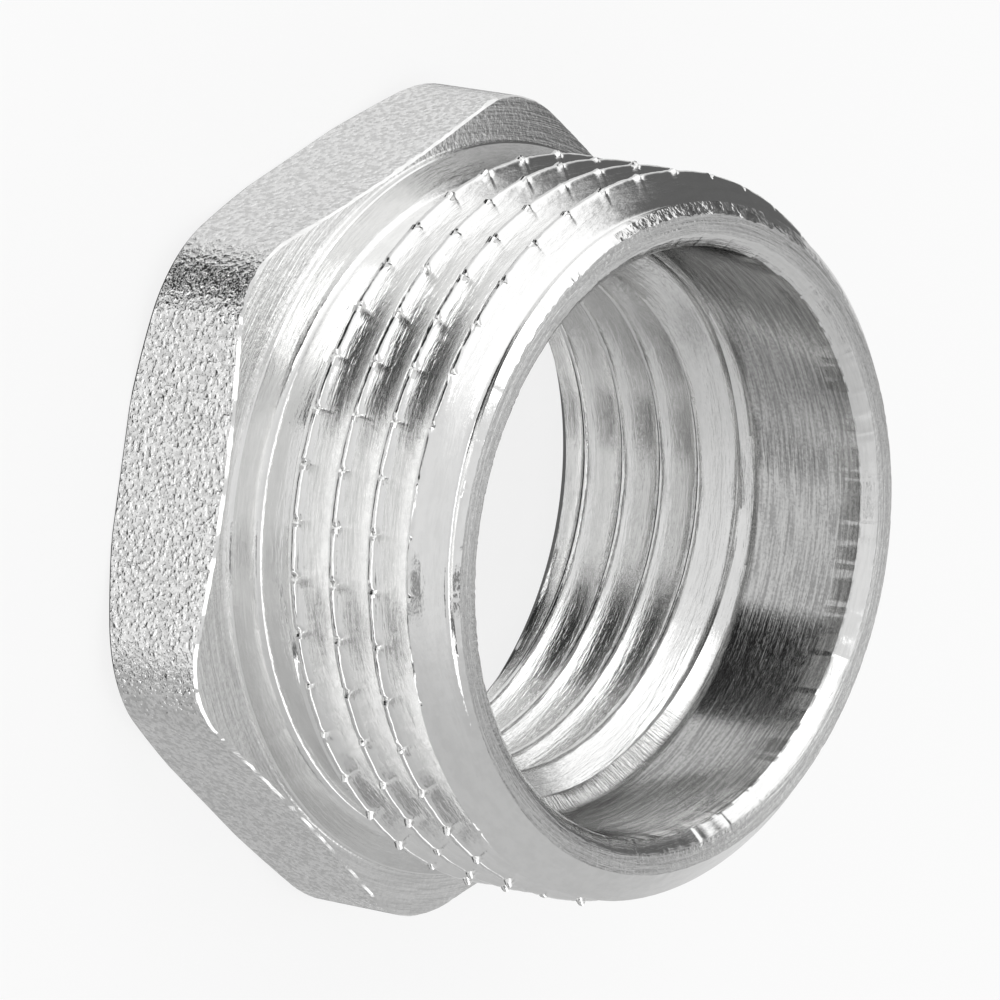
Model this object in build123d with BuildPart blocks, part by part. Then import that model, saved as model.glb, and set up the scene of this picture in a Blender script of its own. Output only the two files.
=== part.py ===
from build123d import *
import os
from math import ceil, cos, radians, tan

os.makedirs("parts", exist_ok=True)

# Reducing hex bushing: a turned brass fitting with a hexagon collar, a male pipe thread with
# notched crests outside, and a stepped through bore with a smaller female pipe thread inside.
# It stands on the hexagon's back face at z = 0, with its axis on +Z and its nose up.
# All lengths are in millimetres and all angles in degrees.

# Hexagon collar
across_flats = 27.0
hex_thickness = 5.1
hex_corner_radius = 3.9
front_slope = 14.4
back_seat_radius = 13.7
back_slope = 27.3

# Male end: outer thread, relief behind it, nose
male_length = 9.8
male_major_radius = 13.2205
shoulder_step = 0.13
shoulder_height = 0.3
relief_undercut = 0.06
relief_width = 1.47
relief_chamfer = 0.3
nose_undercut = 0.15
nose_angle = 45.0

# Pipe thread form, the same pitch of 14 turns per inch inside and outside
thread_pitch = 1.8143
thread_angle = 55.0
thread_depth_per_pitch = 0.640327
male_thread_turn = 235.0
thread_run_in = 0.04

# Notches along the crests, which grip the sealing thread
notch_count = 41
notch_depth = 0.15
notch_width = 0.3
notch_turn = 5.0

# Bore, from the nose down to the hexagon's back face
nose_wall = 1.39
nose_bore_depth = 4.9
nose_bore_chamfer = 0.41
step_angle = 45.0
female_major_radius = 10.4775
back_chamfer = 0.45
back_chamfer_angle = 45.0

# Worked out from the sizes above
total_length = hex_thickness + male_length
corner_reach = across_flats / 2 / cos(radians(30))
thread_depth = thread_depth_per_pitch * thread_pitch
flank_run = tan(radians(thread_angle / 2))
groove_top = thread_pitch / 2 + thread_depth * flank_run
groove_bottom = thread_pitch - groove_top
male_minor_radius = male_major_radius - thread_depth
female_minor_radius = female_major_radius - thread_depth

shoulder_radius = male_major_radius + shoulder_step
relief_radius = male_minor_radius - relief_undercut
nose_radius = male_minor_radius - nose_undercut
relief_start = hex_thickness + shoulder_height
relief_end = relief_start + relief_width
relief_rise = (male_major_radius - relief_radius) * flank_run
nose_chamfer_height = (male_major_radius - nose_radius) / tan(radians(nose_angle))

nose_bore_radius = male_minor_radius - nose_wall
step_top = total_length - nose_bore_depth
step_height = (nose_bore_radius - female_minor_radius) / tan(radians(step_angle))
back_chamfer_radius = female_major_radius + back_chamfer
back_chamfer_height = (back_chamfer_radius - female_minor_radius) * tan(radians(back_chamfer_angle))

# Cutting tools reach this far past the crests
tool_lip = 0.1
notch_lip_width = notch_width * (notch_depth + tool_lip) / notch_depth

# One turn of the groove between the crests: a flat-bottomed V, swept up a right-hand helix
groove_start = relief_start + groove_top / 2 + thread_run_in
groove_turns = ceil((total_length + groove_top / 2 - groove_start) / thread_pitch)
lip_radius = male_major_radius + tool_lip
lip_half = groove_top / 2 + tool_lip * flank_run

with BuildPart() as groove_turn:
    with BuildLine(Plane.XY.offset(groove_start)):
        Helix(pitch=thread_pitch, height=thread_pitch, radius=male_major_radius)
    with BuildSketch(Plane((0, 0, groove_start), x_dir=(1, 0, 0), z_dir=(0, -1, 0))):
        with BuildLine():
            Polyline(
                (male_minor_radius, -groove_bottom / 2),
                (lip_radius, -lip_half),
                (lip_radius, lip_half),
                (male_minor_radius, groove_bottom / 2),
                close=True,
            )
        make_face()
    sweep(is_frenet=True)

with BuildPart() as hex_bushing:
    # Hexagon with rounded corners, turned conical in front and chamfered behind
    with BuildSketch():
        RegularPolygon(radius=across_flats / 2, side_count=6, major_radius=False)
        fillet(vertices(), radius=hex_corner_radius)
    extrude(amount=hex_thickness)
    with BuildSketch(Plane.XZ):
        with BuildLine():
            Polyline(
                (0, 0),
                (back_seat_radius, 0),
                (corner_reach, (corner_reach - back_seat_radius) * tan(radians(back_slope))),
                (corner_reach, hex_thickness - (corner_reach - shoulder_radius) * tan(radians(front_slope))),
                (shoulder_radius, hex_thickness),
                (0, hex_thickness),
                close=True,
            )
        make_face()
    revolve(axis=Axis.Z, mode=Mode.INTERSECT)

    # Male end, turned in one profile: shoulder, relief, thread blank and chamfered nose
    with BuildSketch(Plane.XZ):
        with BuildLine():
            Polyline(
                (0, hex_thickness),
                (shoulder_radius, hex_thickness),
                (shoulder_radius, relief_start),
                (relief_radius, relief_start),
                (relief_radius, relief_end),
                (male_major_radius, relief_end + relief_rise),
                (male_major_radius, total_length - nose_chamfer_height),
                (nose_radius, total_length),
                (0, total_length),
                close=True,
            )
        make_face()
        relief_corner = vertices().sort_by_distance((relief_radius, relief_start))[0]
        chamfer(relief_corner, length=relief_chamfer)
    revolve(axis=Axis.Z)
    for turn in range(groove_turns):
        with Locations((0, 0, turn * thread_pitch)):
            add(groove_turn.part, rotation=(0, 0, male_thread_turn), mode=Mode.SUBTRACT)

    # Notches, rows of small cuts that run along the thread and nick every crest
    with BuildSketch(Plane.XY.offset(relief_end)):
        with PolarLocations(male_major_radius, notch_count, start_angle=notch_turn):
            Polygon(
                (-notch_depth, 0),
                (tool_lip, -notch_lip_width / 2),
                (tool_lip, notch_lip_width / 2),
                align=None,
            )
    extrude(amount=total_length - relief_end, mode=Mode.SUBTRACT)

    # Bore, turned in one profile from the nose chamfer to the chamfer in the back face
    with BuildSketch(Plane.XZ):
        with BuildLine():
            Polyline(
                (0, 0),
                (back_chamfer_radius, 0),
                (female_minor_radius, back_chamfer_height),
                (female_minor_radius, step_top - step_height),
                (nose_bore_radius, step_top),
                (nose_bore_radius, total_length - nose_bore_chamfer),
                (nose_bore_radius + nose_bore_chamfer, total_length),
                (0, total_length),
                close=True,
            )
        make_face()
    revolve(axis=Axis.Z, mode=Mode.SUBTRACT)

hex_bushing.part.label = "hex_bushing"
export_step(hex_bushing.part, "parts/hex_bushing.step")
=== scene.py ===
from math import atan2, cos, hypot, pi, radians, sin, tan

import bmesh
import bpy
from mathutils import Matrix, Vector, noise


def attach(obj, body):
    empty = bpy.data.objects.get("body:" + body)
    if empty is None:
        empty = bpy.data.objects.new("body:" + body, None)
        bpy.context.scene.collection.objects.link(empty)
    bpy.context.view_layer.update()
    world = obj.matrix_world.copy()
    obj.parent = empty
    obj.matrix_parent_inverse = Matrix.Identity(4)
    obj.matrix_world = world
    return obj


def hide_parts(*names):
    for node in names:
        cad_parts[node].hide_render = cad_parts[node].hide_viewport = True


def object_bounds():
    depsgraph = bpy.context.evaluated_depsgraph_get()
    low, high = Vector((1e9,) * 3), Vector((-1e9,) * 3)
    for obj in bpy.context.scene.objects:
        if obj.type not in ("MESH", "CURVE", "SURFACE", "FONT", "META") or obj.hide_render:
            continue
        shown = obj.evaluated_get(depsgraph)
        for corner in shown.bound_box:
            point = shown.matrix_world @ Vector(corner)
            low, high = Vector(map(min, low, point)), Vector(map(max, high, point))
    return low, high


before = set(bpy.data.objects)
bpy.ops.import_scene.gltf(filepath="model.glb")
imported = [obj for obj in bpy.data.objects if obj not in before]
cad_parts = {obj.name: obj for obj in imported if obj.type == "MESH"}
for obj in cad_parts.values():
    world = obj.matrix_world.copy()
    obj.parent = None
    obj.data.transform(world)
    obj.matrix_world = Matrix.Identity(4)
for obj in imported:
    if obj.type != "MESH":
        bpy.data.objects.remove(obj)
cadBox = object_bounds()
print("frame loaded")

# Shapes are worked out in millimetres about the bore's axis, and scaled to metres at the end.
millimetre = 0.001
totalLength = cadBox[1][2] / millimetre
acrossFlats = (cadBox[1][1] - cadBox[0][1]) / millimetre

tolerance = {
    "seam": 0.001,              # closes a spun thread
    "point": 0.0001,            # finds and joins open edges
    "cut": 0.00001,             # points this near to a cutting plane are on it
}


# Rings about the axis

def polarOf(place):
    return atan2(place.y, place.x), hypot(place.x, place.y), place.z


def setPolar(vert, angle, radius, z):
    vert.co = Vector((radius * cos(angle), radius * sin(angle), z))


def openEdgesAt(bm, z):
    level = tolerance["point"]
    return [e for e in bm.edges if e.is_boundary and all(abs(v.co.z - z) < level for v in e.verts)]


def addRing(bm, edges, place):
    # place(angle) gives the radius and height of the new ring
    made = bmesh.ops.extrude_edge_only(bm, edges=edges)["geom"]
    for v in made:
        if isinstance(v, bmesh.types.BMVert):
            angle = polarOf(v.co)[0]
            setPolar(v, angle, *place(angle))
    return [e for e in made if isinstance(e, bmesh.types.BMEdge)]


def addTurned(bm, edges, points):
    for radius, z in points:
        edges = addRing(bm, edges, lambda angle: (radius, z))
    return edges


def spinThread(bm, profile, columns, turns, startAngle, startZ):
    # one pitch of the profile is spun up one turn of a right-hand helix, and the turn is then stacked
    verts = [bm.verts.new((radius, 0, z)) for radius, z in profile]
    edges = [bm.edges.new(pair) for pair in zip(verts, verts[1:])]
    bmesh.ops.rotate(bm, verts=verts, cent=(0, 0, 0), matrix=Matrix.Rotation(startAngle, 3, "Z"))
    bmesh.ops.translate(bm, verts=verts, vec=(0, 0, startZ))
    bmesh.ops.spin(bm, geom=verts + edges, cent=(0, 0, 0), axis=(0, 0, 1), dvec=(0, 0, pitch / columns),
                   angle=2 * pi, steps=columns, use_merge=False)
    oneTurn = bm.verts[:] + bm.edges[:] + bm.faces[:]
    for turn in range(1, turns):
        copied = bmesh.ops.duplicate(bm, geom=oneTurn)["geom"]
        raised = [v for v in copied if isinstance(v, bmesh.types.BMVert)]
        bmesh.ops.translate(bm, verts=raised, vec=(0, 0, turn * pitch))
    bmesh.ops.remove_doubles(bm, verts=bm.verts[:], dist=tolerance["seam"])


def trimAt(bm, z, keepAbove):
    everything = bm.verts[:] + bm.edges[:] + bm.faces[:]
    bmesh.ops.bisect_plane(bm, geom=everything, dist=tolerance["cut"], plane_co=(0, 0, z),
                           plane_no=(0, 0, 1), clear_inner=keepAbove, clear_outer=not keepAbove)


# Wear that changes round the axis

def smoothStep(x, low, high):
    t = min(max((x - low) / (high - low), 0), 1)
    return t * t * (3 - 2 * t)


def facing(angle, turn, spread):
    # 1 near a direction and 0 away from it, where the spread is two cosines
    return smoothStep(cos(angle - radians(turn)), *spread)


def ragged(angle, seed, fineness):
    return noise.noise(Vector((cos(angle) * fineness, sin(angle) * fineness, seed)))


# Pipe thread, the same form and pitch outside and inside

pipeThread = {
    "pitch": 1.8143,
    "depth": 1.1617,
    "halfAngle": 27.5,
    "rounding": 0.249,          # radius of the crests and roots
}
pitch, depth = pipeThread["pitch"], pipeThread["depth"]
flankRun = tan(radians(pipeThread["halfAngle"]))


def threadProfile(root, crest, crestSteps, flankShares):
    # one pitch, as radius and height, from the middle of a root to the middle of the next
    flank = depth * flankRun
    low = pitch / 4 - flank / 2
    outward = 1 if crest > root else -1
    rounding, reach = pipeThread["rounding"], radians(90 - pipeThread["halfAngle"])
    points = [(root + outward * rounding * (1 - cos(a)), rounding * sin(a)) for a in (0, reach / 2, reach)]
    points += [(root + share * (crest - root), low + share * flank) for share in flankShares]
    otherFlank = [(radius, pitch - z) for radius, z in reversed(points)]
    for step in range(crestSteps + 1):
        a = reach * (2 * step / crestSteps - 1)
        points.append((crest - outward * (rounding * (1 - cos(a))), pitch / 2 + rounding * sin(a)))
    return points + otherFlank


# Male end: thread, crest notches, relief and nose chamfer

maleEnd = {
    "majorRadius": 13.2205,
    "grooveTurn": 235.0,        # a groove's middle is at grooveHeight where the angle is this
    "grooveHeight": 6.196,
    "turns": 7,
    "turnsBelow": 1,            # the thread starts this many turns below grooveHeight
    "crestSteps": 6,
    "flankShares": (0.45, 0.8), # points on the flank, from root to crest
    "trimHeight": 5.80,         # the thread is cut off here, inside the relief
    "reliefRadius": 12.0,
    "reliefTop": 6.87,
    "noseRadius": 11.91,
    "noseSlope": 45.0,
}
crestNotches = {
    "rows": 41,
    "turn": 5.0,
    "columns": 12,              # of the mesh, for each row
    "crowding": 0.7,            # draws the columns towards the notches, 0 to 1
    "depth": 0.10,
    "halfWidth": 0.10,
    "sizeSpread": 0.9,          # how much notches and burrs differ in size
    "sizeSeed": (3.7, 2.3, 0.4),
    "burrHeight": 0.12,
    "burrHalfWidth": 0.17,
    "burrShift": 0.13,          # from the middle of its notch
    "burrLean": 0.09,           # how far a burr hangs over towards the nose
    "burrFade": 0.16,           # burrs fade out this near to the relief and the nose
    "wornTurn": -36,            # the burrs are worn away on this side
    "wornSpread": (0.72, 0.85),
    "wornShare": 0.9,
}
maleWear = {
    "crestFrom": 0.82,          # a flank turns into a crest over these shares of the depth
    "crestFull": 0.98,
    "height": 0.020,
    "scale": (9, 1.4),          # of the wear round and along the axis
    "waveScale": 1.7,
    "rippleScale": 8.3,
    "rippleShare": 1.1,
    "shiftScale": 2.9,          # of the crests' shift along the axis
    "tornEdge": 0.04,           # the nose's rim
    "tornLeast": 0.25,
    "tornFrom": 0.5,            # tearing starts and is full this far below the nose
    "tornFull": 0.02,
    "tornTurn": 22,             # the rim is torn most here
    "tornSpread": (0.55, 0.95),
    "tornMore": 4.0,
    "tornFineness": 34,
    "tornAlong": 2.0,
}


def notchOffset(angle):
    # row number, and distance from the row's middle as a share of the spacing
    place = (angle - radians(crestNotches["turn"])) * crestNotches["rows"] / (2 * pi)
    row = round(place)
    return row, place - row


def crowdColumns(bm):
    spacing = 2 * pi / crestNotches["rows"]
    for v in bm.verts:
        angle, radius, z = polarOf(v.co)
        share = notchOffset(angle)[1]
        shift = -crestNotches["crowding"] * sin(2 * pi * share) / (2 * pi) * spacing
        setPolar(v, angle + shift, radius, z + pitch * shift / (2 * pi))


def maleEnvelope(z):
    relief = maleEnd["reliefRadius"] + max(z - maleEnd["reliefTop"], 0) / flankRun
    nose = maleEnd["noseRadius"] + (totalLength - z) / tan(radians(maleEnd["noseSlope"]))
    return min(relief, nose)


def crestShare(radius, z):
    # 1 on a crest, and 0 on the flanks and where the relief or the nose cuts the thread off
    if radius >= maleEnvelope(z):
        return 0
    height = (radius - maleEnd["majorRadius"] + depth) / depth
    return smoothStep(height, maleWear["crestFrom"], maleWear["crestFull"])


def notchSize(angle, z):
    # one size for each row on each crest
    lift = (z - maleEnd["grooveHeight"]) / pitch - (angle - radians(maleEnd["grooveTurn"])) / (2 * pi)
    rowStep, crestStep, start = crestNotches["sizeSeed"]
    spot = Vector((notchOffset(angle)[0] * rowStep, round(lift - 0.5) * crestStep, start))
    return 1 + crestNotches["sizeSpread"] * noise.noise(spot)


def cutAndBurr(angle, radius, z):
    # the notch and the burr beside it, each 0 to 1
    across = notchOffset(angle)[1] * (2 * pi / crestNotches["rows"] * maleEnd["majorRadius"])
    halfWidth, burrHalfWidth = crestNotches["halfWidth"], crestNotches["burrHalfWidth"]
    cut = smoothStep(halfWidth - abs(across), 0, halfWidth)
    burr = smoothStep(burrHalfWidth - abs(across - crestNotches["burrShift"]), 0, burrHalfWidth)
    burr *= smoothStep(maleEnvelope(z) - radius, 0, crestNotches["burrFade"])
    worn = facing(angle, crestNotches["wornTurn"], crestNotches["wornSpread"])
    return cut, burr * (1 - crestNotches["wornShare"] * worn)


def tornDepth(angle, z):
    # how much of the relief's slope or the nose's chamfer is torn away
    torn = smoothStep(z, totalLength - maleWear["tornFrom"], totalLength - maleWear["tornFull"])
    torn *= 1 + maleWear["tornMore"] * facing(angle, maleWear["tornTurn"], maleWear["tornSpread"])
    tear = abs(ragged(angle, z * maleWear["tornAlong"], maleWear["tornFineness"]))
    return maleWear["tornEdge"] * (maleWear["tornLeast"] + torn) * tear


def wearMaleEnd(bm):
    around, along = maleWear["scale"]
    for v in bm.verts:
        angle, radius, z = polarOf(v.co)
        crest = crestShare(radius, z)
        if crest > 0:
            spot = Vector((cos(angle) * around, sin(angle) * around, z * along))
            wear = maleWear["height"] * crest
            waves = noise.noise(spot * maleWear["waveScale"])
            ripples = noise.noise(spot * maleWear["rippleScale"])
            shift = noise.noise(spot * maleWear["shiftScale"])
            radius += wear * (waves + maleWear["rippleShare"] * ripples)
            size = crest * notchSize(angle, z)
            cut, burr = cutAndBurr(angle, radius, z)
            radius += size * (crestNotches["burrHeight"] * burr - crestNotches["depth"] * cut)
            z += wear * shift + size * crestNotches["burrLean"] * burr
        limit = maleEnvelope(z)
        if radius > limit and z > maleEnd["reliefTop"]:
            limit -= tornDepth(angle, z)
        setPolar(v, angle, min(radius, limit), z)


def buildMaleEnd():
    bm = bmesh.new()
    major = maleEnd["majorRadius"]
    profile = threadProfile(major - depth, major, maleEnd["crestSteps"], maleEnd["flankShares"])
    turned = (crestNotches["turn"] - maleEnd["grooveTurn"]) / 360
    startZ = maleEnd["grooveHeight"] + pitch * (turned - maleEnd["turnsBelow"])
    columns = crestNotches["rows"] * crestNotches["columns"]
    spinThread(bm, profile, columns, maleEnd["turns"], radians(crestNotches["turn"]), startZ)
    crowdColumns(bm)
    trimAt(bm, maleEnd["trimHeight"], keepAbove=True)
    trimAt(bm, totalLength, keepAbove=False)
    wearMaleEnd(bm)
    print("male thread", len(bm.faces), "faces")
    return bm


# Nose and plain bore, down to the step's cone

bore = {
    "noseInnerRadius": 11.08,
    "noseBoreRadius": 10.67,
    "noseChamferDepth": 0.42,
    "rimInset": 0.2,            # the nose's flat ring starts this far inside the torn rim
    "innerEdge": ((0.07, 0), (0.02, 0.025), (-0.03, 0.05)),     # rounded, as steps out and down
    "footRounding": 0.07,       # of the chamfer's foot, and how far the wall starts below it
    "footDrop": 0.04,
    "chippedEdge": 0.055,
    "chippedFoot": 0.7,         # share of the chips that reach the chamfer's foot
    "chipSeed": 5.2,
    "chipFineness": 80,
    "wallRings": 4,
    "wallEnd": 0.15,            # above the step, where the wall is joined to the female thread
    "stepTop": 9.75,
    "stepRounding": 0.7,        # of the corner between the plain bore and the step's cone
    "stepRoughness": 0.012,
    "stepFineness": 45,
    "stepAlong": 4,
    "chatter": (185, 246),      # the tool shook here, in degrees round the step
    "threadRadius": 9.3158,
}


def stepReach(z):
    # the plain bore's wall, its rounded corner and the step's cone of 45 degrees
    rounding, drop = bore["stepRounding"], bore["stepTop"] - z
    if drop <= 0:
        return bore["noseBoreRadius"]
    if drop < rounding * cos(pi / 4):
        return bore["noseBoreRadius"] - rounding + (rounding ** 2 - drop ** 2) ** 0.5
    return bore["noseBoreRadius"] - drop + rounding * tan(pi / 8)


def chippedPlace(angle, radius, drop, chips):
    return radius + chips * ragged(angle, bore["chipSeed"], bore["chipFineness"]), totalLength - drop


def buildNoseAndBore(bm):
    inner, wall, outer = bore["noseInnerRadius"], bore["noseBoreRadius"], maleEnd["noseRadius"]
    foot, chip = bore["footRounding"], bore["chippedEdge"]
    chamferFoot = totalLength - bore["noseChamferDepth"]
    rim = [(outer - bore["rimInset"], 0, 0), (outer * 0.5 + inner * 0.5, 0, 0)]
    rim += [(inner + out, drop, chip) for out, drop in bore["innerEdge"]]
    rim += [(wall + foot, totalLength - chamferFoot - foot, chip * bore["chippedFoot"])]
    edges = openEdgesAt(bm, totalLength)
    for radius, drop, chips in rim:
        edges = addRing(bm, edges, lambda angle: chippedPlace(angle, radius, drop, chips))
    wallLength, rings = bore["stepTop"] + bore["wallEnd"] - chamferFoot, bore["wallRings"]
    walls = [(wall, chamferFoot - bore["footDrop"])]
    walls += [(wall, chamferFoot + wallLength * (ring + 1) / rings) for ring in range(rings)]
    addTurned(bm, edges, walls)


# Hexagon collar: a cone in front, a chamfer behind, worn edges between

collar = {
    "thickness": 5.1,
    "shoulderRadius": 13.35,
    "shoulderTop": 5.4,
    "shoulderRounding": 0.05,
    "shoulderFoot": 0.04,
    "reliefFillet": 0.36,
    "cornerRadius": 3.9,
    "frontSlope": 14.4,
    "backSeatRadius": 13.7,
    "backSlope": 27.3,
    "edgeWear": 0.044,          # of the hexagon's front edge, inwards
    "edgeFall": 0.12,           # and down its sides
    "edgeNicks": 0.055,
    "nickFall": 2,              # how far a nick goes down, for each step inwards
    "nickSeed": 1.3,
    "nickFineness": 40,
    "backWear": 0.08,
    "backMiddle": 0.3,          # share of the back edge's wear where it is rounded
    "frontRings": 4,
    "sideRings": 5,
}


def hexagonReach(angle):
    # from the axis to the side of the rounded hexagon, which has a corner on +X
    apothem, rounding = acrossFlats / 2, collar["cornerRadius"]
    turn = abs((angle + pi / 6) % (pi / 3) - pi / 6)
    centre = (apothem - rounding) / cos(pi / 6)
    tangent = atan2(rounding * sin(pi / 6), centre + rounding * cos(pi / 6))
    if turn < tangent:
        return centre * cos(turn) + (rounding ** 2 - (centre * sin(turn)) ** 2) ** 0.5
    return apothem / cos(pi / 6 - turn)


def frontZ(radius):
    return collar["thickness"] - (radius - collar["shoulderRadius"]) * tan(radians(collar["frontSlope"]))


def backZ(radius):
    return max(radius - collar["backSeatRadius"], 0) * tan(radians(collar["backSlope"]))


def nick(angle):
    return collar["edgeNicks"] * ragged(angle, collar["nickSeed"], collar["nickFineness"])


def frontPlace(angle, share):
    start = collar["shoulderRadius"] + collar["shoulderFoot"]
    end = hexagonReach(angle) - collar["edgeWear"] - abs(nick(angle))
    radius = start + (end - start) * share
    return radius, frontZ(radius)


def sidePlace(angle, share):
    reach = hexagonReach(angle)
    high = frontZ(reach) - collar["edgeFall"] + collar["nickFall"] * nick(angle)
    low = backZ(reach) + collar["backWear"]
    return reach, high + (low - high) * share


def backEdgePlace(angle):
    reach, rounded = hexagonReach(angle), collar["backWear"] * collar["backMiddle"]
    return reach - rounded, backZ(reach) + rounded


def backConePlace(angle):
    radius = hexagonReach(angle) - collar["backWear"]
    return radius, backZ(radius)


def backSeatPlace(angle):
    return min(hexagonReach(angle) - collar["backWear"], collar["backSeatRadius"]), 0


def buildCollar(bm):
    top, foot = collar["shoulderTop"], collar["thickness"]
    shoulder, rounding = collar["shoulderRadius"], collar["shoulderRounding"]
    floorRadius, fillet = maleEnd["reliefRadius"], collar["reliefFillet"]
    ring = [(floorRadius + fillet * (1 - cos(a)), top + fillet * (1 - sin(a)))
            for a in (0, pi / 8, pi / 4, 3 * pi / 8, pi / 2)]
    ring += [(shoulder - rounding, top), (shoulder, top - rounding), (shoulder, foot + rounding)]
    edges = addTurned(bm, openEdgesAt(bm, maleEnd["trimHeight"]), ring)
    for step in range(collar["frontRings"] + 1):
        edges = addRing(bm, edges, lambda angle: frontPlace(angle, step / collar["frontRings"]))
    for step in range(collar["sideRings"] + 1):
        edges = addRing(bm, edges, lambda angle: sidePlace(angle, step / collar["sideRings"]))
    for place in (backEdgePlace, backConePlace, backSeatPlace):
        edges = addRing(bm, edges, place)


# Female thread, from the step's cone to the chamfer in the back face

femaleThread = {
    "columns": 360,
    "crestTurn": 272.8,         # a crest's middle is at crestHeight where the angle is this
    "crestHeight": 7.87,
    "turns": 7,
    "turnsBelow": 5,            # this many turns lie below the one with that crest
    "crestSteps": 4,
    "flankShares": (0.35, 0.6),
    "backRadius": 10.93,
}


def buildFemaleThread():
    bm = bmesh.new()
    minor, stepTop = bore["threadRadius"], bore["stepTop"]
    profile = threadProfile(minor + depth, minor, femaleThread["crestSteps"], femaleThread["flankShares"])
    startZ = femaleThread["crestHeight"] - (femaleThread["turnsBelow"] + 0.5) * pitch
    startAngle = radians(femaleThread["crestTurn"])
    spinThread(bm, profile, femaleThread["columns"], femaleThread["turns"], startAngle, startZ)
    trimAt(bm, 0, keepAbove=True)
    trimAt(bm, stepTop, keepAbove=False)
    for v in bm.verts:
        angle, radius, z = polarOf(v.co)
        cone = stepReach(z)
        if z < stepTop - bore["stepRounding"] * cos(pi / 4):
            cone += bore["stepRoughness"] * ragged(angle, z * bore["stepAlong"], bore["stepFineness"])
        setPolar(v, angle, max(radius, cone, femaleThread["backRadius"] - z), z)
    print("female thread", len(bm.faces), "faces")
    return bm


def joinInto(bm, other):
    carrier = bpy.data.meshes.new("carrier")
    other.to_mesh(carrier)
    other.free()
    bm.from_mesh(carrier)
    bpy.data.meshes.remove(carrier)


def buildBushing():
    bm = buildMaleEnd()
    buildNoseAndBore(bm)
    buildCollar(bm)
    joinInto(bm, buildFemaleThread())
    stepTop = bore["stepTop"]
    seam = openEdgesAt(bm, stepTop + bore["wallEnd"]) + openEdgesAt(bm, stepTop)
    bmesh.ops.bridge_loops(bm, edges=seam)
    bmesh.ops.triangle_fill(bm, edges=openEdgesAt(bm, 0), use_beauty=True, normal=(0, 0, -1))
    bmesh.ops.remove_doubles(bm, verts=bm.verts[:], dist=tolerance["point"])
    bmesh.ops.recalc_face_normals(bm, faces=bm.faces[:])
    return bm


# Node helpers

def newMaterial(name):
    material = bpy.data.materials.new(name)
    material.use_nodes = True
    tree = material.node_tree
    tree.nodes.clear()
    output = tree.nodes.new("ShaderNodeOutputMaterial")
    shader = tree.nodes.new("ShaderNodeBsdfPrincipled")
    tree.links.new(shader.outputs["BSDF"], output.inputs["Surface"])
    return material, tree, shader


def feed(tree, socket, value):
    if isinstance(value, (int, float, tuple)):
        socket.default_value = value
    else:
        tree.links.new(value, socket)


def mathOf(tree, operation, *values):
    node = tree.nodes.new("ShaderNodeMath")
    node.operation = operation
    for socket, value in zip(node.inputs, values):
        feed(tree, socket, value)
    return node.outputs[0]


def noiseOf(tree, place, scale, detail, roughness=0.5):
    node = tree.nodes.new("ShaderNodeTexNoise")
    feed(tree, node.inputs["Vector"], place)
    node.inputs["Scale"].default_value = scale
    node.inputs["Detail"].default_value = detail
    node.inputs["Roughness"].default_value = roughness
    return node.outputs["Fac"]


def rangeOf(tree, value, low, high, toLow, toHigh):
    node = tree.nodes.new("ShaderNodeMapRange")
    node.interpolation_type = "SMOOTHSTEP"
    sockets = ("Value", "From Min", "From Max", "To Min", "To Max")
    for name, amount in zip(sockets, (value, low, high, toLow, toHigh)):
        feed(tree, node.inputs[name], amount)
    return node.outputs[0]


def bumpOf(tree, height, distance, strength=1.0, under=None):
    node = tree.nodes.new("ShaderNodeBump")
    feed(tree, node.inputs["Strength"], strength)
    node.inputs["Distance"].default_value = distance
    feed(tree, node.inputs["Height"], height)
    if under is not None:
        feed(tree, node.inputs["Normal"], under)
    return node.outputs["Normal"]


def mixShaders(tree, share, first, second):
    mix = tree.nodes.new("ShaderNodeMixShader")
    for socket, value in zip(mix.inputs, (share, first.outputs[0], second.outputs[0])):
        feed(tree, socket, value)
    return mix


def axisPlace(tree):
    # object coordinates, with the distance from the axis, the height and the angle
    place = tree.nodes.new("ShaderNodeTexCoord").outputs["Object"]
    split = tree.nodes.new("ShaderNodeSeparateXYZ")
    feed(tree, split.inputs[0], place)
    x, y, z = split.outputs
    squares = mathOf(tree, "ADD", mathOf(tree, "MULTIPLY", x, x), mathOf(tree, "MULTIPLY", y, y))
    return place, mathOf(tree, "SQRT", squares), z, mathOf(tree, "ARCTAN2", y, x)


# Finishes. Each has fine rings that the tool left, broken up round the turn, over a grain.

turnedPlate = {                 # thread, relief and chamfers
    "color": (0.86, 0.86, 0.855, 1),
    "roughness": (0.05, 0.13),
    "ringScale": 4200,
    "ringLength": 9,            # breaks in a ring, for each radian
    "ringDepth": 0.000026,
    "grainScale": 2600,
    "grainDepth": 0.000004,
    "grainLightShare": 0.3,           # share of the grain in the shade, which paints the grain's ridges lighter and its hollows darker as painted highlight and shade, and the rest is the rings'
    "shade": (0.95, 1.0),
}
facedPlate = {                  # nose ring and the hexagon's front
    "color": (0.86, 0.86, 0.855, 1),
    "roughness": (0.12, 0.24),
    "ringScale": 4200,
    "ringLength": 4,
    "ringDepth": 0.000050,
    "grainScale": 6200,
    "grainDepth": 0.000022,
    "grainLightShare": 0.3,
    "shade": (0.86, 1.0),
}
shadedBorePlate = {                   # plain bore; its darker colour and shade range are painted shade for the dark inside of the bore
    "color": (0.58, 0.58, 0.575, 1),
    "roughness": (0.07, 0.16),
    "ringScale": 7600,
    "ringLength": 5,
    "ringDepth": 0.000015,
    "grainScale": 9000,
    "grainDepth": 0.000002,
    "grainLightShare": 0.3,
    "shade": (0.66, 1.12),
}
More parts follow.
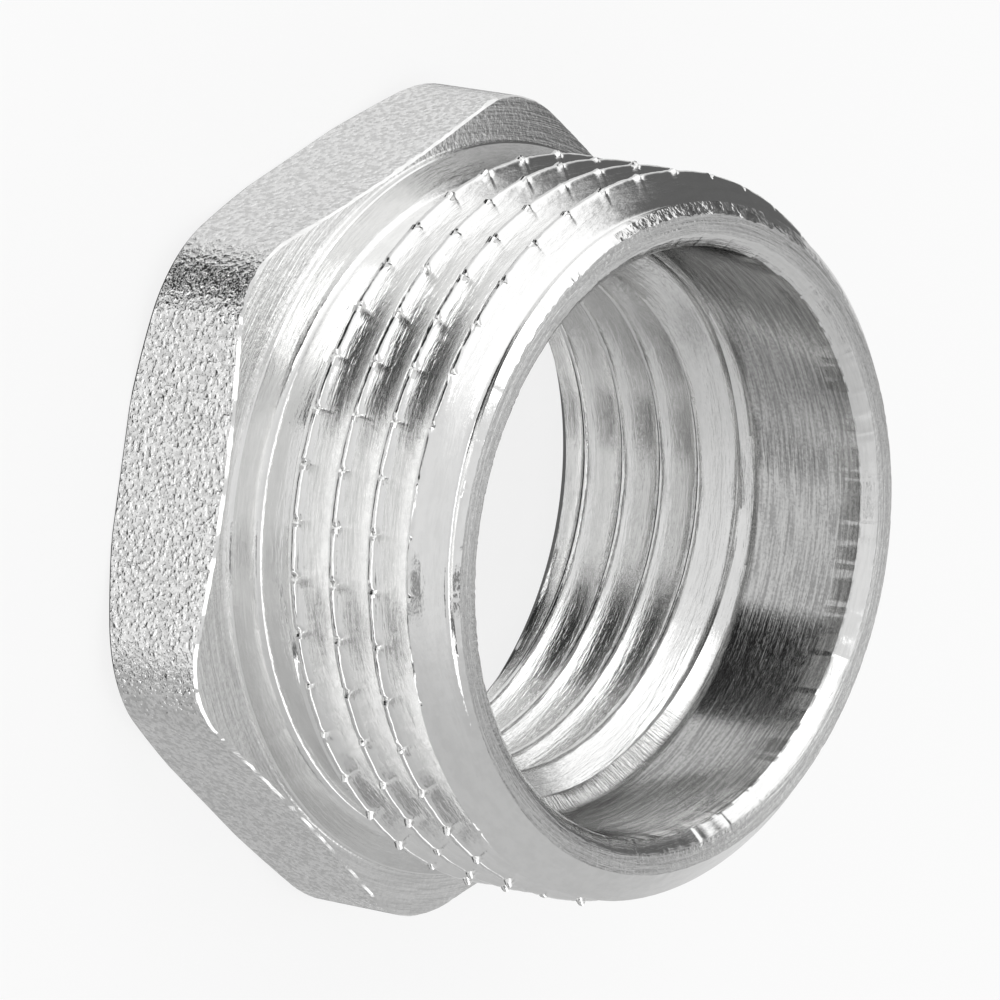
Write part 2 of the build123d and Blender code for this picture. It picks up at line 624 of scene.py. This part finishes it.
blastedPlate = {                # hexagon's sides; the tone follows the grain fully, so the grain's ridges are painted lighter and its hollows darker, as painted highlight and shade
    "color": (0.88, 0.88, 0.875, 1),
    "roughness": (0.08, 0.14),
    "ringScale": 300,
    "ringLength": 2,
    "ringDepth": 0.000010,
    "grainScale": 4800,
    "grainDepth": 0.00008,
    "grainLightShare": 1.0,
    "shade": (0.84, 1.10),
}
chatteredPlate = {              # where the tool shook on the step
    "color": (0.86, 0.86, 0.855, 1),
    "roughness": (0.08, 0.16),
    "ringScale": 110,
    "ringLength": 125,
    "ringDepth": 0.000080,
    "fade": (-140, -116),       # the rings fade out here, in degrees round the step
    "grainScale": 2600,
    "grainDepth": 0.000006,
    "grainLightShare": 0.3,
    "shade": (0.90, 1.0),
}
pittedPlate = {                 # nose chamfer, where its rim is torn
    "color": (0.84, 0.84, 0.835, 1),
    "roughness": (0.12, 0.25),
    "ringScale": 1200,
    "ringLength": 20,
    "ringDepth": 0.000060,
    "grainScale": 3400,
    "grainDepth": 0.00010,
    "grainLightShare": 0.7,
    "shade": (0.62, 1.06),
}
finishes = {
    "turned": turnedPlate,
    "faced": facedPlate,
    "bore": shadedBorePlate,
    "blasted": blastedPlate,
    "chattered": chatteredPlate,
    "pitted": pittedPlate,
}
allPlates = {
    "slant": 1.8,               # rings step with the height and this much with the radius
    "ringDetail": 4,
    "ringRoughness": 0.6,
    "grainDetail": 2,
    "smearScale": 240,          # patches that are rougher and smoother
    "smearDetail": 4,
    "smearRange": (0.35, 0.7),
    "shadeRange": (0.38, 0.60),
}


def makeFinish(name, finish):
    material, tree, shader = newMaterial(name)
    place, radius, z, angle = axisPlace(tree)
    across = mathOf(tree, "MULTIPLY_ADD", radius, allPlates["slant"], z)
    along = tree.nodes.new("ShaderNodeCombineXYZ")
    feed(tree, along.inputs[0], mathOf(tree, "MULTIPLY", across, finish["ringScale"]))
    feed(tree, along.inputs[1], mathOf(tree, "MULTIPLY", angle, finish["ringLength"]))
    rings = noiseOf(tree, along.outputs[0], 1, allPlates["ringDetail"], allPlates["ringRoughness"])
    grain = noiseOf(tree, place, finish["grainScale"], allPlates["grainDetail"])
    smear = noiseOf(tree, place, allPlates["smearScale"], allPlates["smearDetail"])
    tone = tree.nodes.new("ShaderNodeMix")
    tone.data_type = "RGBA"
    tone.blend_type = "MULTIPLY"
    tone.inputs[0].default_value = 1
    tone.inputs[6].default_value = finish["color"]      # 6 and 7 are the two colours, and 2 is theirs mixed
    # the grain's share of the tone paints its ridges lighter and its hollows darker, as painted highlight
    # and shade, most on the blasted and pitted plates; the rest follows the tool's rings
    share = finish["grainLightShare"]
    speckWithGrainLight = mathOf(tree, "MULTIPLY_ADD", grain, share, mathOf(tree, "MULTIPLY", rings, 1 - share))
    feed(tree, tone.inputs[7], rangeOf(tree, speckWithGrainLight, *allPlates["shadeRange"], *finish["shade"]))
    tree.links.new(tone.outputs[2], shader.inputs["Base Color"])
    shader.inputs["Metallic"].default_value = 1
    rough = rangeOf(tree, smear, *allPlates["smearRange"], *finish["roughness"])
    tree.links.new(rough, shader.inputs["Roughness"])
    kept = 1.0
    if "fade" in finish:
        kept = rangeOf(tree, angle, *(radians(a) for a in finish["fade"]), 1.0, 0.0)
    ringed = bumpOf(tree, rings, finish["ringDepth"], kept)
    feed(tree, shader.inputs["Normal"], bumpOf(tree, grain, finish["grainDepth"], under=ringed))
    return material


# The finished bushing

finishPlaces = {
    "noseRing": 0.01,           # how far below the nose's end the flat ring and the chamfer go
    "noseChamfer": 0.35,
    "chamferInset": 0.1,
    "pittedTurn": -12,          # middle of the pitted stretch, and the cosine at its ends
    "pittedCosine": 0.77,
    "stepGap": 0.04,            # faces this near to the step's surface are on it
    "boredShare": 0.4,          # of the step's rounding, bored like the wall
    "sideBand": 0.15,           # the hexagon's sides and worn edges lie outside its flats less this
    "sideSlope": 0.2,           # the normals' z is below this on the sides
    "edgeSlope": 0.8,           # and below this on the worn edges
    "frontLip": 0.02,           # the front face goes this far above its foot at the shoulder
    "sharpAngle": 32,
}


def finishOf(face):
    # the name of a face's finish, from its place and slope
    angle, radius, z = polarOf(face.calc_center_median())
    places, slope = finishPlaces, abs(face.normal.z)
    if z > totalLength - places["noseRing"]:
        return "faced"
    if z > totalLength - places["noseChamfer"] and radius > maleEnd["noseRadius"] - places["chamferInset"]:
        return "pitted" if cos(angle - radians(places["pittedTurn"])) > places["pittedCosine"] else "turned"
    chamferFoot = totalLength - bore["noseChamferDepth"]
    # the plain bore and the top of the step's rounding get the bore finish, whose darker colour is painted
    # shade
    if bore["stepTop"] < z < chamferFoot and radius < bore["noseInnerRadius"]:
        return "bore"
    if radius < bore["noseBoreRadius"] and abs(radius - stepReach(z)) < places["stepGap"]:
        if z > bore["stepTop"] - bore["stepRounding"] * places["boredShare"]:
            return "bore"
        start, end = (radians(a) for a in bore["chatter"])
        return "chattered" if start < angle % (2 * pi) < end else "turned"
    onHexagon = z < collar["thickness"] and radius > acrossFlats / 2 - places["sideBand"]
    if onHexagon and slope < places["edgeSlope"]:
        return "blasted" if slope < places["sideSlope"] else "turned"
    if z < collar["thickness"] + places["frontLip"] and radius > collar["shoulderRadius"]:
        return "faced"
    return "turned"


def finishBushing():
    bm = buildBushing()
    names = list(finishes)
    for face in bm.faces:
        face.material_index = names.index(finishOf(face))
        face.smooth = True
    for edge in bm.edges:
        meeting = {names[face.material_index] for face in edge.link_faces}
        shallow = edge.calc_face_angle(0) < radians(finishPlaces["sharpAngle"])
        edge.smooth = shallow and meeting != {"turned", "blasted"}
    print("bushing", len(bm.faces), "faces,", sum(len(f.verts) - 2 for f in bm.faces), "triangles,",
          sum(e.is_boundary for e in bm.edges), "open edges")
    bmesh.ops.scale(bm, vec=(millimetre, millimetre, millimetre), verts=bm.verts[:])
    mesh = bpy.data.meshes.new("bushing_body")
    bm.to_mesh(mesh)
    bm.free()
    for name, finish in finishes.items():
        mesh.materials.append(makeFinish(name + " plate", finish))
    piece = bpy.data.objects.new("bushing_body", mesh)
    bpy.context.scene.collection.objects.link(piece)
    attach(piece, "root")
    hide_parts("hex_bushing")


finishBushing()


# Floor

studioFloor = {
    "size": 3.0,
    "color": (0.86, 0.86, 0.86, 1),
    "roughness": 0.9,
    "gap": 0.00003,             # keeps it clear of the back face
    "lift": 0.8,                # share that the camera sees as plain white
}


def buildFloor():
    bm = bmesh.new()
    bmesh.ops.create_grid(bm, x_segments=2, y_segments=2, size=studioFloor["size"] / 2)
    bmesh.ops.translate(bm, verts=bm.verts[:], vec=(0, 0, -studioFloor["gap"]))
    mesh = bpy.data.meshes.new("floor")
    bm.to_mesh(mesh)
    bm.free()
    floor = bpy.data.objects.new("floor", mesh)
    floor.visible_glossy = False        # the metal mirrors the tent below it too
    bpy.context.scene.collection.objects.link(floor)
    material, tree, shader = newMaterial("pale floor")
    shader.inputs["Base Color"].default_value = studioFloor["color"]
    shader.inputs["Roughness"].default_value = studioFloor["roughness"]
    shader.inputs["Specular IOR Level"].default_value = 0
    white = tree.nodes.new("ShaderNodeEmission")
    white.inputs["Color"].default_value = (1, 1, 1, 1)
    rays = tree.nodes.new("ShaderNodeLightPath")
    seen = mathOf(tree, "MAXIMUM", rays.outputs["Is Camera Ray"], rays.outputs["Is Glossy Ray"])
    seen = mathOf(tree, "MAXIMUM", seen, rays.outputs["Is Transmission Ray"])
    mix = mixShaders(tree, mathOf(tree, "MULTIPLY", seen, studioFloor["lift"]), shader, white)
    tree.links.new(mix.outputs[0], tree.nodes["Material Output"].inputs["Surface"])
    mesh.materials.append(material)


buildFloor()


# Soft studio surroundings: a pale tent all round, with brighter boxes and darker cards for the metal
# to mirror. Each card has its azimuth and its angle from the zenith, how far from there it is full and
# gone, and its brightness. What comes later hangs in front.

surroundings = {
    "tent": 0.74,
    "level": 0.9,               # of the light that falls on matt surfaces
    "walls": (
        ("side wall", 188, 84, 32, 78, 0.56),
        ("front wall", 87, 124, 32, 58, 0.84),
        ("key box", -8, 62, 34, 64, 1.22),
    ),
    "strip": {                  # a long lamp that runs round the front, just below the horizon
        "azimuth": 132,
        "spread": 82,
        "spreadSoft": 20,
        "from": 86,
        "to": 104,
        "soft": 4,
        "brightness": 1.7,
    },
    "cards": (
        ("overhead box", 84, 34, 10, 38, 0.82),
        ("back wall", 275, 46, 10, 34, 0.44),
        ("dark card", 304, 80, 20, 38, 0.13),
        ("back box", 290, 27, 9, 17, 1.06),
        ("low card", 47, 119, 17, 22, 0.03),
        ("low bore card", 32, 130, 9, 13, 0.04),
        ("side gap", 203, 45, 3, 10, 0.28),
        ("low side card", 130, 116, 8, 14, 0.15),
        ("low side wall", 190, 134, 14, 44, 0.46),
        ("front gap", 116, 43, 2, 8, 0.24),
        ("behind card", 267, 138, 6, 17, 0.12),
        ("under card", 0, 180, 26, 36, 0.05),
    ),
}


def directionOf(azimuth, zenithAngle):
    a, t = radians(azimuth), radians(zenithAngle)
    return sin(t) * cos(a), sin(t) * sin(a), cos(t)


def dotOf(tree, direction, towards):
    dot = tree.nodes.new("ShaderNodeVectorMath")
    dot.operation = "DOT_PRODUCT"
    feed(tree, dot.inputs[0], direction)
    feed(tree, dot.inputs[1], towards)
    return dot.outputs["Value"]


def fadeOf(tree, cosine, gone, full, toLow=0.0, toHigh=1.0):
    return rangeOf(tree, cosine, cos(radians(gone)), cos(radians(full)), toLow, toHigh)


def hang(tree, share, behind, brightness):
    mix = tree.nodes.new("ShaderNodeMix")
    for socket, amount in zip((mix.inputs[0], mix.inputs[2], mix.inputs[3]), (share, behind, brightness)):
        feed(tree, socket, amount)
    return mix.outputs[0]


def hangCards(tree, direction, behind, cards):
    for name, azimuth, zenithAngle, full, gone, brightness in cards:
        facingCard = dotOf(tree, direction, directionOf(azimuth, zenithAngle))
        behind = hang(tree, fadeOf(tree, facingCard, gone, full), behind, brightness)
    return behind


def hangStrip(tree, direction, behind, strip):
    height = dotOf(tree, direction, (0, 0, 1))
    below = fadeOf(tree, height, strip["from"] + strip["soft"], strip["from"], 1.0, 0.0)
    above = fadeOf(tree, height, strip["to"] + strip["soft"], strip["to"])
    side = dotOf(tree, direction, directionOf(strip["azimuth"], 90))
    front = fadeOf(tree, side, strip["spread"], strip["spread"] - strip["spreadSoft"])
    share = mathOf(tree, "MULTIPLY", mathOf(tree, "MULTIPLY", below, above), front)
    return hang(tree, share, behind, strip["brightness"])


def backgroundOf(tree, strength):
    node = tree.nodes.new("ShaderNodeBackground")
    node.inputs["Color"].default_value = (1, 1, 1, 1)
    feed(tree, node.inputs["Strength"], strength)
    return node


def buildSurroundings():
    world = bpy.data.worlds.new("studio")
    bpy.context.scene.world = world
    world.use_nodes = True
    tree = world.node_tree
    tree.nodes.clear()
    direction = tree.nodes.new("ShaderNodeTexCoord").outputs["Generated"]
    tent = hangCards(tree, direction, surroundings["tent"], surroundings["walls"])
    tent = hangStrip(tree, direction, tent, surroundings["strip"])
    tent = hangCards(tree, direction, tent, surroundings["cards"])
    rays = tree.nodes.new("ShaderNodeLightPath")
    bounced = mathOf(tree, "MAXIMUM", rays.outputs["Is Glossy Ray"], rays.outputs["Is Transmission Ray"])
    light = mixShaders(tree, bounced, backgroundOf(tree, surroundings["level"]), backgroundOf(tree, tent))
    seen = mixShaders(tree, rays.outputs["Is Camera Ray"], light, backgroundOf(tree, 1.0))
    output = tree.nodes.new("ShaderNodeOutputWorld")
    tree.links.new(seen.outputs[0], output.inputs["Surface"])


buildSurroundings()
print("floor and surroundings set")


# Lamp

keyLamp = {
    "towards": (0.62, 0.28, 0.73),
    "distance": 0.6,
    "size": 0.35,
    "power": 0.3,
}


def buildLamp():
    light = bpy.data.lights.new("key lamp", "AREA")
    light.shape = "DISK"
    light.size = keyLamp["size"]
    light.energy = keyLamp["power"]
    lamp = bpy.data.objects.new("key lamp", light)
    towards = Vector(keyLamp["towards"]).normalized()
    lamp.location = towards * keyLamp["distance"]
    lamp.rotation_euler = towards.to_track_quat("Z", "Y").to_euler()
    bpy.context.scene.collection.objects.link(lamp)


buildLamp()


# Camera at the photograph's viewing angle

camera = {
    "azimuth": 86.597,          # where it stands, from +X about the axis
    "elevation": 39.973,
    "roll": -99.974,
    "distance": 0.431796,
    "aim": (0.000498, 0.000539, 0.006773),
    "lens": 432.0,
    "sensor": 36.0,
    "clipStart": 0.01,
}


def buildCamera():
    azimuth, elevation, roll = (radians(camera[k]) for k in ("azimuth", "elevation", "roll"))
    back = Vector((cos(elevation) * cos(azimuth), cos(elevation) * sin(azimuth), sin(elevation)))
    upright = (Vector((0, 0, 1)) - back * back.z).normalized()
    up = upright * cos(roll) + (-back).cross(upright) * sin(roll)
    data = bpy.data.cameras.new("camera")
    data.lens = camera["lens"]
    data.sensor_width = camera["sensor"]
    data.clip_start = camera["clipStart"]
    shooter = bpy.data.objects.new("camera", data)
    turn = Matrix((up.cross(back), up, back)).transposed().to_4x4()
    shooter.matrix_world = Matrix.Translation(Vector(camera["aim"]) + back * camera["distance"]) @ turn
    bpy.context.scene.collection.objects.link(shooter)
    bpy.context.scene.camera = shooter


buildCamera()
bpy.context.scene.view_settings.view_transform = "Standard"
print("lamp and camera set")

bpy.context.view_layer.update()
